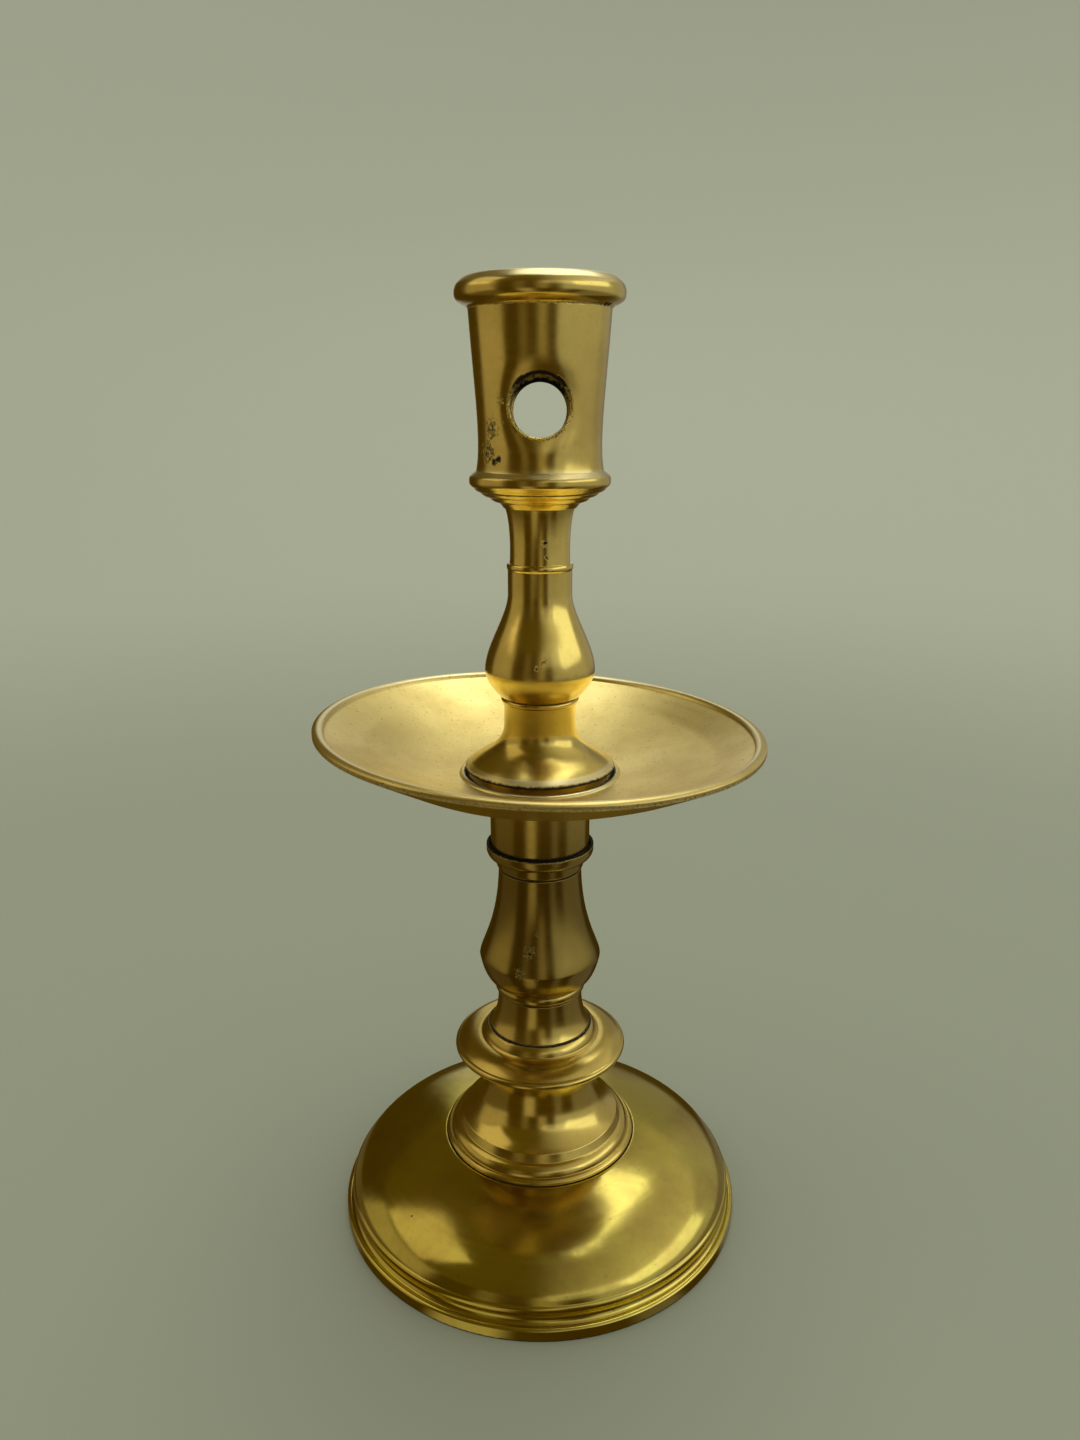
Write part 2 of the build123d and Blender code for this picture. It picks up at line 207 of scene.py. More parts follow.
def finished(bm, name, material, body, node, seams=(), worn_highlights=(), hidden_shade=None):
    """Turns a bmesh into a CAD node's piece, noting its dirt and painted shade and its wear and painted
    highlights.
    """
    piece = smooth_object(bm, name)
    mesh = piece.data
    mesh.set_sharp_from_angle(angle=SHARP_ANGLE)
    dirt_and_shade = mesh.attributes.new("dirt_and_shade", "FLOAT", "POINT")
    wear_and_highlight = mesh.attributes.new("wear_and_highlight", "FLOAT", "POINT")
    for vert, dirt_and_shade_value, wear_and_highlight_value in zip(mesh.vertices, dirt_and_shade.data, wear_and_highlight.data):
        radius = hypot(vert.co.x, vert.co.y) / MM
        height = vert.co.z / MM
        hidden = hidden_shade(vert.co / MM) if hidden_shade else 0
        dirt_and_shade_value.value = max(nearness(radius, height, seams), hidden)
        wear_and_highlight_value.value = nearness(radius, height, worn_highlights)
    mesh.materials.append(material)
    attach(piece, body)
    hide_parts(node)
    return piece


# Materials


def linear(code):
    """The linear colour of an sRGB hex value."""
    parts = [int(code[k:k + 2], 16) / 255 for k in (1, 3, 5)]
    return [p / 12.92 if p <= 0.04045 else ((p + 0.055) / 1.055) ** 2.4 for p in parts] + [1]


def add(tree, kind, sockets=(), **settings):
    """Adds a node with its settings, and sets or links its sockets."""
    made = tree.nodes.new("ShaderNode" + kind)
    for name, value in settings.items():
        setattr(made, name, value)
    for key, value in dict(sockets).items():
        if isinstance(value, bpy.types.NodeSocket):
            tree.links.new(value, made.inputs[key])
        else:
            made.inputs[key].default_value = value
    return made


def new_material(name):
    """A material with an empty node tree, and that tree."""
    material = bpy.data.materials.new(name)
    material.use_nodes = True
    material.node_tree.nodes.clear()
    return material, material.node_tree


def noise(tree, place, grain, detail, roughness=0.5, dimensions="3D"):
    """Cloudy noise from 0 to 1, with grains of a real size in millimetres."""
    return add(
        tree, "TexNoise",
        {"Vector": place, "Scale": 1 / (grain * MM), "Detail": detail, "Roughness": roughness},
        noise_dimensions=dimensions,
    ).outputs[0]


def reckon(tree, operation, *values):
    """The result of one sum."""
    return add(tree, "Math", dict(enumerate(values)), operation=operation).outputs[0]


def fade(tree, value, span, levels=(0, 1), smooth=False):
    """Goes from the first level to the second while a value crosses its span, and stays level beyond it."""
    return add(
        tree, "MapRange", {0: value, 1: span[0], 2: span[1], 3: levels[0], 4: levels[1]},
        interpolation_type="SMOOTHSTEP" if smooth else "LINEAR",
    ).outputs[0]


# The two inputs and the output of a Mix node for each kind of data
MIX_SOCKETS = {"FLOAT": (2, 3, 0), "VECTOR": (4, 5, 1), "RGBA": (6, 7, 2)}


def blend(tree, share, under, over, kind="RGBA"):
    """Mixes two colours, vectors or numbers. A share of 1 is all of the second."""
    first, second, mixed = MIX_SOCKETS[kind]
    return add(tree, "Mix", {0: share, first: under, second: over}, data_type=kind).outputs[mixed]


# Real sizes on the brass. The turning marks are drawn coarser than real tool marks, which are too fine to
# show from here.
PATINA_CLOUD = 20
TURNING_MARK_SPACING = 1.1
TURNING_MARK_DEPTH = 0.03
SPECKLE_GRAIN = 0.8
PIT_GRAIN = 0.7
DENT_WIDTH = 9
DENT_DEPTH = 0.25
DIRT_AND_SHADE_DEPTH = 0.3

# Painted shade on the lower baluster is darkest at this height, and fades out towards where it ends
LOWER_SHADE_MIDDLE_Z = 70
LOWER_SHADE_FULL_REACH = 14
LOWER_SHADE_END_REACH = 26

# The brown of the lower baluster is painted shade, the pale worn colour is partly a painted highlight, and
# the dark seam colour is partly painted shade.
PATINA_COLOUR = linear("#c3a758")
SPECKLE_COLOUR = linear("#6b4d1e")
LOWER_SHADE_COLOUR = linear("#8a7634")
WORN_HIGHLIGHT_COLOUR = linear("#f1e2a2")
DIRT_AND_SHADE_COLOUR = linear("#1c1408")
WORN_ROUGHNESS = 0.3
DIRT_AND_SHADE_ROUGHNESS = 0.7
DIRT_AND_SHADE_METALLIC = 0.2

# Where each pattern sets in and where it is full, along the noise, the dirt and painted shade, or the wear
# and painted highlight that steers it
PATINA_SPAN = (0.42, 0.68)
SPECKLE_SPAN = (0.60, 0.74)
WEAR_AND_HIGHLIGHT_SPAN = (0, 0.6)
DIRT_AND_SHADE_SPAN = (-0.18, 0.3)
PIT_SPAN = (0.83, 1.05)
NOISE_SPAN = (0.3, 0.7)

# How the grain frays the edge of the dirt and painted shade, and how a casting flaw thins out towards its
# reach
DIRT_AND_SHADE_FRAY = 0.9
PIT_REACH = 1.5
PIT_OUTSIDE = -0.3

# How far the patina and the turning marks change the roughness, and how strong the relief is
PATINA_DULLING = (-0.04, 0.06)
TURNING_MARK_DULLING = (-0.02, 0.02)
DENT_STRENGTH = 0.3
DIRT_AND_SHADE_STRENGTH = 0.6


def brass(name, tone, roughness, patina_share, speckle_share, ring_depth=0.05, marks=(), lower_shade=0):
    """Cast brass turned bright on a lathe, hand polished and darkened by age, with dirt and painted shade in
    its seams.

    Tone is the colour of the clean metal. Marks are casting flaws: azimuth from the front in degrees,
    height, radius there and size, and how solid they are. Its last argument is how strong the painted shade
    is round the lower baluster.
    """
    material, tree = new_material(name)
    place = add(tree, "TexCoord").outputs["Object"]
    split = add(tree, "SeparateXYZ", {0: place})
    flat = add(tree, "CombineXYZ", {0: split.outputs[0], 1: split.outputs[1]})
    radius = add(tree, "VectorMath", {0: flat.outputs[0]}, operation="LENGTH").outputs["Value"]
    section = add(tree, "CombineXYZ", {0: radius, 1: split.outputs[2]}).outputs[0]
    cloud = noise(tree, place, PATINA_CLOUD, detail=5, roughness=0.62)
    rings = noise(tree, section, TURNING_MARK_SPACING, detail=2, dimensions="2D")
    grain = noise(tree, place, SPECKLE_GRAIN, detail=4, roughness=0.7)

    # Colour: clean metal under thin patina and fine dark specks, with painted shade round the lower
    # baluster, and pale where worn, partly as a painted highlight
    colour = blend(tree, fade(tree, cloud, PATINA_SPAN, (0, patina_share)), linear(tone), PATINA_COLOUR)
    colour = blend(tree, fade(tree, grain, SPECKLE_SPAN, (0, speckle_share)), colour, SPECKLE_COLOUR)
    if lower_shade:
        away = reckon(tree, "ABSOLUTE", reckon(tree, "SUBTRACT", split.outputs[2], LOWER_SHADE_MIDDLE_Z * MM))
        painted_shade = fade(tree, away, (LOWER_SHADE_FULL_REACH * MM, LOWER_SHADE_END_REACH * MM), (lower_shade, 0))
        colour = blend(tree, painted_shade, colour, LOWER_SHADE_COLOUR)
    # Pale where worn: partly real wear and partly a painted highlight on the edge tops
    wear_and_highlight = add(tree, "Attribute", attribute_name="wear_and_highlight").outputs["Fac"]
    wear_and_highlight = fade(tree, wear_and_highlight, WEAR_AND_HIGHLIGHT_SPAN, smooth=True)
    colour = blend(tree, wear_and_highlight, colour, WORN_HIGHLIGHT_COLOUR)

    # Dirt and painted shade: ragged edged in the seams, and dark grains in the casting flaws
    dirt_and_shade = add(tree, "Attribute", attribute_name="dirt_and_shade").outputs["Fac"]
    dirt_and_shade = reckon(tree, "ADD", dirt_and_shade, reckon(tree, "SUBTRACT", grain, DIRT_AND_SHADE_FRAY))
    dirt_and_shade = fade(tree, dirt_and_shade, DIRT_AND_SHADE_SPAN, smooth=True)
    pits = None
    for azimuth, height, reach, size, solid in marks:
        centre = (reach * sin(radians(azimuth)) * MM, -reach * cos(radians(azimuth)) * MM, height * MM)
        off = add(tree, "VectorMath", {0: place, 1: centre}, operation="DISTANCE").outputs["Value"]
        pit = fade(tree, off, (0, PIT_REACH * size * MM), (solid, PIT_OUTSIDE), smooth=True)
        pits = reckon(tree, "MAXIMUM", pits, pit) if pits else pit
    if pits:
        pits = reckon(tree, "ADD", pits, noise(tree, place, PIT_GRAIN, detail=5, roughness=0.65))
        dirt_and_shade = reckon(tree, "MAXIMUM", dirt_and_shade, fade(tree, pits, PIT_SPAN, smooth=True))
    colour = blend(tree, dirt_and_shade, colour, DIRT_AND_SHADE_COLOUR)
    metal = fade(tree, dirt_and_shade, (0, 1), (1, DIRT_AND_SHADE_METALLIC))

    # Gloss: duller under the patina, and a little streaked by the turning marks
    rough = fade(tree, cloud, NOISE_SPAN, [roughness + change for change in PATINA_DULLING])
    rough = reckon(tree, "ADD", rough, fade(tree, rings, NOISE_SPAN, TURNING_MARK_DULLING))
    rough = blend(tree, wear_and_highlight, rough, WORN_ROUGHNESS, "FLOAT")
    rough = blend(tree, dirt_and_shade, rough, DIRT_AND_SHADE_ROUGHNESS, "FLOAT")

    # Relief: turning marks, the shallow waves of hand polishing, and flaws sunk into the metal
    ripple = add(
        tree, "Bump", {"Strength": ring_depth, "Distance": TURNING_MARK_DEPTH * MM, "Height": rings}
    ).outputs[0]
    dents = noise(tree, place, DENT_WIDTH, detail=2)
    wavy = add(
        tree, "Bump",
        {"Strength": DENT_STRENGTH, "Distance": DENT_DEPTH * MM, "Height": dents, "Normal": ripple},
    ).outputs[0]
    sunk = add(
        tree, "Bump",
        {"Strength": DIRT_AND_SHADE_STRENGTH, "Distance": DIRT_AND_SHADE_DEPTH * MM, "Height": dirt_and_shade, "Normal": wavy},
        invert=True,
    ).outputs[0]
    shader = add(
        tree, "BsdfPrincipled", {"Base Color": colour, "Metallic": metal, "Roughness": rough, "Normal": sunk}
    )
    add(tree, "OutputMaterial", {"Surface": shader.outputs[0]})
    return material


RUST_CLOUD = 3
RUST_SPAN = (0.45, 0.7)
RUST_SHARE = 0.8
STEEL_ROUGHNESS = 0.3
RUST_ROUGHNESS = 0.55
STEEL_COLOUR = linear("#b3aea6")
RUST_COLOUR = linear("#6a5138")


def steel(name):
    """Turned mild steel, lightly rusted."""
    material, tree = new_material(name)
    place = add(tree, "TexCoord").outputs["Object"]
    rust = noise(tree, place, RUST_CLOUD, detail=5)
    colour = blend(tree, fade(tree, rust, RUST_SPAN, (0, RUST_SHARE)), STEEL_COLOUR, RUST_COLOUR)
    rough = fade(tree, rust, (0, 1), (STEEL_ROUGHNESS, RUST_ROUGHNESS))
    shader = add(tree, "BsdfPrincipled", {"Base Color": colour, "Metallic": 1.0, "Roughness": rough})
    add(tree, "OutputMaterial", {"Surface": shader.outputs[0]})
    return material


YELLOW_BRASS = "#e7cf70"

# The foot is the glossiest piece and a little olive with age: broad clear reflections with cloudy patches,
# three pin holes and a faint scar on the left
brass_foot = brass(
    "aged_polished_brass_foot", "#dfd064", roughness=0.15, patina_share=0.8, speckle_share=0.35,
    marks=(
        (20, 3.4, 42.9, 0.5, 1.1), (-4, 5.4, 43.0, 0.4, 1.1), (-48, 12.2, 36.4, 0.4, 0.9),
        (-60, 13, 34, 5, 0.2),
    ),
)

# The stem is softly polished, so its highlights are long soft streaks. It has painted shade round the lower
# baluster, and a few scarred patches: two on the neck, two on the upper bulb and four on the lower one
brass_stem = brass(
    "aged_polished_brass_stem", YELLOW_BRASS, roughness=0.20, patina_share=0.6, speckle_share=0.3,
    marks=(
        (9, 150.4, 6.0, 1.4, 0.55), (13, 147.8, 6.0, 1.0, 0.55),
        (4, 128.2, 10.2, 2.2, 0.42), (-3, 127.0, 10.6, 1.2, 0.5),
        (-12, 66.5, 11.2, 3, 0.48), (-20, 62, 12.7, 3, 0.44), (-2, 70, 10.2, 2, 0.4), (-4, 61, 13, 2, 0.42),
    ),
    lower_shade=0.65,
)

# The pan is rubbed to a satin: an even sheen with no clear reflections, and more dark specks. Its pale tone
# is partly a painted sheen
brass_pan = brass(
    "worn_satin_brass_pan", "#f6e08c", roughness=0.35, patina_share=0.5, speckle_share=0.8, ring_depth=0.02
)

# The nozzle is polished like the stem, with a pitted patch left of its window and a nick under its rim
brass_nozzle = brass(
    "aged_polished_brass_nozzle", YELLOW_BRASS, roughness=0.20, patina_share=0.6, speckle_share=0.3,
    marks=(
        (-48, 171.5, 12.0, 5, 0.42), (-54, 167.5, 11.9, 5, 0.45), (-38, 176.5, 12.2, 3, 0.36),
        (-40, 166.1, 11.9, 1.3, 0.62), (-45, 165.7, 11.9, 1.3, 0.62), (-29, 174.5, 12.0, 0.8, 0.9),
        (59, 193.2, 13.7, 0.9, 1.0), (65, 193.2, 13.7, 0.9, 1.0),
    ),
)

# The cut thread was never polished: duller and darker, so that its ridges stand out
brass_screw = brass("cut_brass_thread", YELLOW_BRASS, roughness=0.35, patina_share=0.8, speckle_share=0.5)

# The rod, washer and nut are plain steel with brown rust in clouds, dull grey beside the brass
steel_fixings = steel("browned_mild_steel")

# Foot: a bun-shaped dome, beaded at its edge, over a cove and a flat rim, hollow below
SOLE_WIDTH = 2.7
ROD_HOLE_RADIUS = 3.3
foot_radius = radius_of("foot")
seam_z = top_of("foot")
flange_radius = radius_of("pedestal")
foot_rim_top = (foot_radius, 2.3)
foot_lip_top = (foot_radius - 1.3, 2.6)
foot_cove_top = (foot_radius - 1.9, 4.7)
foot_bead_top = (foot_radius - 2, 6.6)
dome_crown = (21.7, seam_z)
hub_under_z = seam_z - 3
hub_edge = (20, hub_under_z)
hollow_edge = (foot_radius - 4.3, 2)
foot = Outline((foot_radius - SOLE_WIDTH, 0)).line((foot_radius, 0), foot_rim_top)
foot.swell(foot_lip_top, rise=0.3).swell(foot_cove_top, rise=-0.4).swell(foot_bead_top, rise=0.55)
foot.curve(dome_crown, leans=(-24, -81), shares=(0.25, 0.31), steps=64)
foot.line((ROD_HOLE_RADIUS, seam_z), (ROD_HOLE_RADIUS, hub_under_z), hub_edge)
hollow = Outline(hollow_edge).curve(hub_edge, leans=(-14, -84), shares=(0.34, 0.36), steps=48)
foot.line(*reversed(hollow.points)).line((foot_radius - SOLE_WIDTH, 0))
# Painted shade, with some dirt, where the pedestal sits on the foot and round the foot's bottom edge
foot_seams = ((flange_radius, seam_z, 0.35), (foot_radius, 0, 0.5))
finished(
    turn_on_lathe(foot, foot_seams, AROUND_WIDE), "domed_foot", brass_foot, "base", "foot",
    foot_seams,
)

# Pedestal: beaded ring, spreading neck and knop
SPIGOT_HOLE_RADIUS = 6.05
KNOP_EDGE_RADIUS = 18.04
knop_z = top_of("pedestal")
spigot_hole_floor_z = knop_z - 6
flange_edge_top = (flange_radius, seam_z + 0.7)
flange_shoulder = (flange_radius - 0.5, seam_z + 1.2)
flange_step = (flange_radius - 1.1, seam_z + 1.2)
flange_bead_top = (18.2, seam_z + 3.4)
neck_crease = (17.5, seam_z + 5.1)
neck_waist = (12, seam_z + 14.8)
neck_top = (13.6, seam_z + 21.2)
knop_edge_foot = (KNOP_EDGE_RADIUS, seam_z + 21.6)
knop_edge_top = (KNOP_EDGE_RADIUS, seam_z + 23.2)
knop_roll_top = (13, seam_z + 25)
knop_cove_top = (12.5, seam_z + 25.4)
knop_bead_top = (11.25, knop_z)
pedestal = Outline((ROD_HOLE_RADIUS, seam_z)).line((flange_radius, seam_z), flange_edge_top)
pedestal.line(flange_shoulder, flange_step).swell(flange_bead_top, rise=0.45).line(neck_crease)
pedestal.curve(neck_waist, leans=(-58, 0), shares=(0.35, 0.45))
pedestal.curve(neck_top, leans=(0, 28), shares=(0.35, 0.3))
pedestal.line(knop_edge_foot).swell(knop_edge_top, rise=0.8).swell(knop_roll_top, rise=0.55)
pedestal.line(knop_cove_top).swell(knop_bead_top, rise=0.2)
pedestal.line((SPIGOT_HOLE_RADIUS, knop_z), (SPIGOT_HOLE_RADIUS, spigot_hole_floor_z))
pedestal.line((ROD_HOLE_RADIUS, spigot_hole_floor_z), (ROD_HOLE_RADIUS, seam_z))
# Painted shade, with some dirt, where it sits on the foot, round its top bead and under the knop
pedestal_seams = ((flange_radius, seam_z, 0.3), (*knop_bead_top, 0.45), (*neck_top, 0.4))
finished(
    turn_on_lathe(pedestal, pedestal_seams), "pedestal_knop", brass_stem, "base", "pedestal",
    pedestal_seams,
)

# Lower baluster: pear-shaped, with the cup for the collar on top
SPIGOT_RADIUS = 6.03
ROD_SEAT_RADIUS = 3.02
SCREW_HOLE_RADIUS = 4.05
CUP_RADIUS = 10.8
CUP_LIP_RADIUS = 11.35
cup_lip_z = top_of("lower_baluster")
cup_floor_z = foot_of("pan_collar")
spigot_z = foot_of("lower_baluster")
rod_seat_top_z = knop_z + 6
screw_hole_floor_z = cup_floor_z - 13.5
lower_stem_foot = (11.05, knop_z)
lower_stem_top = (9.15, knop_z + 8.3)
lower_bead_top = (9.15, knop_z + 10.6)
lower_bulb_foot = (9.7, knop_z + 10.6)
lower_bulb_ridge = (13.12, knop_z + 17)
lower_bulb_top = (8.82, knop_z + 37.4)
cup_band_foot = (9.25, knop_z + 38)
cup_band_top = (9.25, knop_z + 39.8)
cup_round_foot = (9.6, knop_z + 39.8)
cup_round_top = (CUP_LIP_RADIUS, knop_z + 41.5)
lower = Outline((0, rod_seat_top_z)).line((ROD_SEAT_RADIUS, rod_seat_top_z), (ROD_SEAT_RADIUS, spigot_z))
lower.line((SPIGOT_RADIUS, spigot_z), (SPIGOT_RADIUS, knop_z), lower_stem_foot)
lower.curve(lower_stem_top, leans=(-32, 0), shares=(0.30, 0.50)).swell(lower_bead_top, rise=0.65)
lower.line(lower_bulb_foot).curve(lower_bulb_ridge, leans=(60, 11), shares=(0.33, 0.40))
lower.curve(lower_bulb_top, leans=(-9, -1), shares=(0.12, 0.60), steps=48)
lower.line(cup_band_foot, cup_band_top, cup_round_foot).swell(cup_round_top, rise=0.45)
lower.line((CUP_LIP_RADIUS, cup_lip_z), (CUP_RADIUS, cup_lip_z), (CUP_RADIUS, cup_floor_z))
lower.line((SCREW_HOLE_RADIUS, cup_floor_z), (SCREW_HOLE_RADIUS, screw_hole_floor_z))
lower.line((0, screw_hole_floor_z))
# Painted shade, with some dirt, where it sits on the knop, at its creases, round the cup's lip and in the
# cup
lower_seams = (
    (*lower_stem_foot, 0.35), (*lower_stem_top, 0.4), (*lower_bulb_top, 0.4), (11.1, cup_lip_z, 0.6),
    (CUP_RADIUS, cup_floor_z, 0.5),
)
finished(
    turn_on_lathe(lower, lower_seams), "lower_baluster_turned", brass_stem, "base",
    "lower_baluster", lower_seams,
)

# Collar under the pan
COLLAR_RADIUS = 10.45
pan_under_z = foot_of("drip_pan")
collar = Outline((SCREW_HOLE_RADIUS, cup_floor_z)).line((COLLAR_RADIUS, cup_floor_z))
collar.line((COLLAR_RADIUS, pan_under_z), (SCREW_HOLE_RADIUS, pan_under_z), (SCREW_HOLE_RADIUS, cup_floor_z))
# Painted shade, with some dirt, where the collar enters the cup, in the cup and under the pan
collar_seams = (
    (COLLAR_RADIUS, cup_lip_z, 0.6), (COLLAR_RADIUS, cup_floor_z, 1.6), (COLLAR_RADIUS, pan_under_z, 0.5)
)
finished(
    turn_on_lathe(collar, collar_seams), "collar_sleeve", brass_stem, "pan", "pan_collar",
    collar_seams,
)

# Drip pan: a shallow dish with a rolled lip and a raised ring round its flat middle
PAN_THICKNESS = 2.6
PAN_FLAT_RADIUS = 16.7
pan_radius = radius_of("drip_pan")
pan_top_z = pan_under_z + PAN_THICKNESS
pan_under_edge = (43.6, pan_under_z + 10.15)
pan_lip_foot = (pan_radius, pan_under_z + 11.45)
pan_lip_top = (pan_radius, pan_under_z + 12.35)
pan_bowl_edge = (43.6, pan_under_z + 11.9)
pan_ring_inside = (15.2, pan_top_z)
pan = Outline((SCREW_HOLE_RADIUS, pan_under_z)).line((PAN_FLAT_RADIUS, pan_under_z))
pan.curve(pan_under_edge, leans=(86, 62), shares=(0.34, 0.34), steps=48)
pan.line(pan_lip_foot, pan_lip_top).swell(pan_bowl_edge, rise=0.75)
bowl = Outline((PAN_FLAT_RADIUS, pan_top_z))
bowl.curve(pan_bowl_edge, leans=(85, 63.5), shares=(0.34, 0.34), steps=48)
pan.line(*reversed(bowl.points)).swell(pan_ring_inside, rise=0.5)
pan.line((SCREW_HOLE_RADIUS, pan_top_z), (SCREW_HOLE_RADIUS, pan_under_z))
# Painted shade, with some dirt, round the raised ring and over the collar, and a painted shadow line under
# the lip
pan_seams = (
    (15.2, pan_top_z + 0.1, 1.1), (COLLAR_RADIUS, pan_under_z, 0.5),
    (pan_radius + 0.45, pan_under_z + 11.7, 0.75),
)
# Painted highlights, partly real wear, on the lip's top and on the raised ring
pan_worn_highlights = ((pan_radius - 1.5, pan_under_z + 12.8, 0.8), (16, pan_top_z + 0.6, 1.2))
pan_piece = finished(
    turn_on_lathe(pan, pan_seams, AROUND_WIDE), "dished_drip_pan", brass_pan, "pan", "drip_pan",
    pan_seams, pan_worn_highlights,
)

# The dish is bent a little down to the right by use. Its flat middle stays level on the collar
PAN_LEAN = 0.038
PAN_LEAN_START = 16.8
PAN_LEAN_GROWTH = 1.5
for vert in pan_piece.data.vertices:
    reach = max(0, hypot(vert.co.x, vert.co.y) / MM - PAN_LEAN_START) / (pan_radius - PAN_LEAN_START)
    vert.co.z -= PAN_LEAN * vert.co.x * min(1, PAN_LEAN_GROWTH * reach)

# Upper baluster: a flared foot, a pear-shaped bulb and a slim neck
SCREW_SEAT_RADIUS = 4.02
TENON_RADIUS = 3.5
BOSS_RADIUS = 12
BOSS_HEIGHT = 1.4
FLARE_RADIUS = 15.4
WAIST_RADIUS = 7.35
NECK_RADIUS = 6.4
upper_foot_z = pan_top_z + BOSS_HEIGHT
screw_seat_top_z = pan_top_z + 12
nozzle_z = foot_of("candle_nozzle")
tenon_top_z = top_of("upper_baluster")
flare_edge_top = (FLARE_RADIUS, upper_foot_z + 0.5)
waist_foot = (WAIST_RADIUS, upper_foot_z + 9.5)
waist_top = (WAIST_RADIUS, upper_foot_z + 13.7)
waist_bead_top = (WAIST_RADIUS, upper_foot_z + 15)
upper_bulb_foot = (8.2, upper_foot_z + 15.3)
upper_bulb_ridge = (11.12, upper_foot_z + 20.6)
upper_bulb_top = (NECK_RADIUS, upper_foot_z + 36)
neck_ring_foot = (NECK_RADIUS, upper_foot_z + 40.7)
neck_ring_top = (NECK_RADIUS, upper_foot_z + 42)
upper_neck_foot = (6, upper_foot_z + 42)
upper_neck_top = (6.85, nozzle_z)
upper = Outline((0, screw_seat_top_z)).line((SCREW_SEAT_RADIUS, screw_seat_top_z))
upper.line((SCREW_SEAT_RADIUS, pan_top_z), (BOSS_RADIUS, pan_top_z), (BOSS_RADIUS, upper_foot_z))
upper.line((FLARE_RADIUS, upper_foot_z), flare_edge_top)
upper.curve(waist_foot, leans=(-50, 0), shares=(0.41, 0.45)).line(waist_top).swell(waist_bead_top, rise=0.6)
upper.line(upper_bulb_foot).curve(upper_bulb_ridge, leans=(42, 1), shares=(0.35, 0.35))
upper.curve(upper_bulb_top, leans=(0, 0), shares=(0.30, 0.27), steps=48)
upper.line(neck_ring_foot).swell(neck_ring_top, rise=0.2).line(upper_neck_foot)
upper.curve(upper_neck_top, leans=(-4, 22), shares=(0.35, 0.2), steps=24)
upper.line((TENON_RADIUS, nozzle_z), (TENON_RADIUS, tenon_top_z), (0, tenon_top_z))
# Painted shade, with some dirt, round the flared foot where it meets the pan, and at the waist's bead
upper_seams = ((15.3, upper_foot_z, 1.0), (7.6, upper_foot_z + 15.1, 0.3))
# A painted highlight, partly real wear, on top of the flared foot's edge
upper_worn_highlights = ((14.8, upper_foot_z + 0.9, 1.2),)
finished(
    turn_on_lathe(upper, upper_seams), "upper_baluster_turned", brass_stem, "top",
    "upper_baluster", upper_seams, upper_worn_highlights,
)

# Candle nozzle, with a round window through its front and back walls. The wall round each window is a square
# block of faces, counted in steps from its middle, with a square ring inside it that becomes the round edge
WINDOW_RADIUS = 5.52
WINDOW_LIP = 0.6
WINDOW_LIP_STEPS = 4
WINDOW_SLOPE = radians(2.4)
WINDOW_BLOCK = 20
WINDOW_RING = 12
WINDOW_HALF_HEIGHT = 7.6
WINDOW_DIP = 0.5
WINDOW_DIP_WIDTH = 3.4
FLUSH = 0.01
BORE_RADIUS = 10.2
TENON_HOLE_RADIUS = 3.52
WALL_STEPS = 256
WALL_ROW_STEPS = 8
WALL_ROW_GAP = 0.2
window_z = nozzle_z + 18.4
top_z = top_of("candle_nozzle")
bore_floor_z = tenon_top_z + 4.1
wall_foot = (12.15, nozzle_z + 7.9)
wall_top = (13.4, nozzle_z + 36)
wall = Outline(wall_foot).curve(wall_top, leans=(-9, 3.5), shares=(0.20, 0.40), steps=WALL_STEPS).points
window_rows = [
    window_z + WINDOW_HALF_HEIGHT * row / WINDOW_BLOCK for row in range(-WINDOW_BLOCK, WINDOW_BLOCK + 1)
]


def wall_radius(height):
    """Radius of the nozzle's outer wall at a height."""
    for low, high in zip(wall, wall[1:]):
        if low[1] <= height <= high[1]:
            return low[0] + (high[0] - low[0]) * (height - low[1]) / (high[1] - low[1])
    return wall[-1][0]


def window_centre(depth):
    """Height of the window's middle at a depth behind the axis. It runs a little down to the back."""
    return window_z - depth * tan(WINDOW_SLOPE)


def edge_loop(bm, edges, radius, depth):
    """Extrudes a round hole's edge to a new radius and depth."""
    made = bmesh.ops.extrude_edge_only(bm, edges=edges)["geom"]
    for vert in (item for item in made if isinstance(item, bmesh.types.BMVert)):
        middle = window_centre(vert.co.y / MM)
        turn = atan2(vert.co.z / MM - middle, vert.co.x / MM)
        place = depth(radius * cos(turn))
        vert.co = Vector((radius * cos(turn), place, window_centre(place) + radius * sin(turn))) * MM
    return [item for item in made if isinstance(item, bmesh.types.BMEdge)]


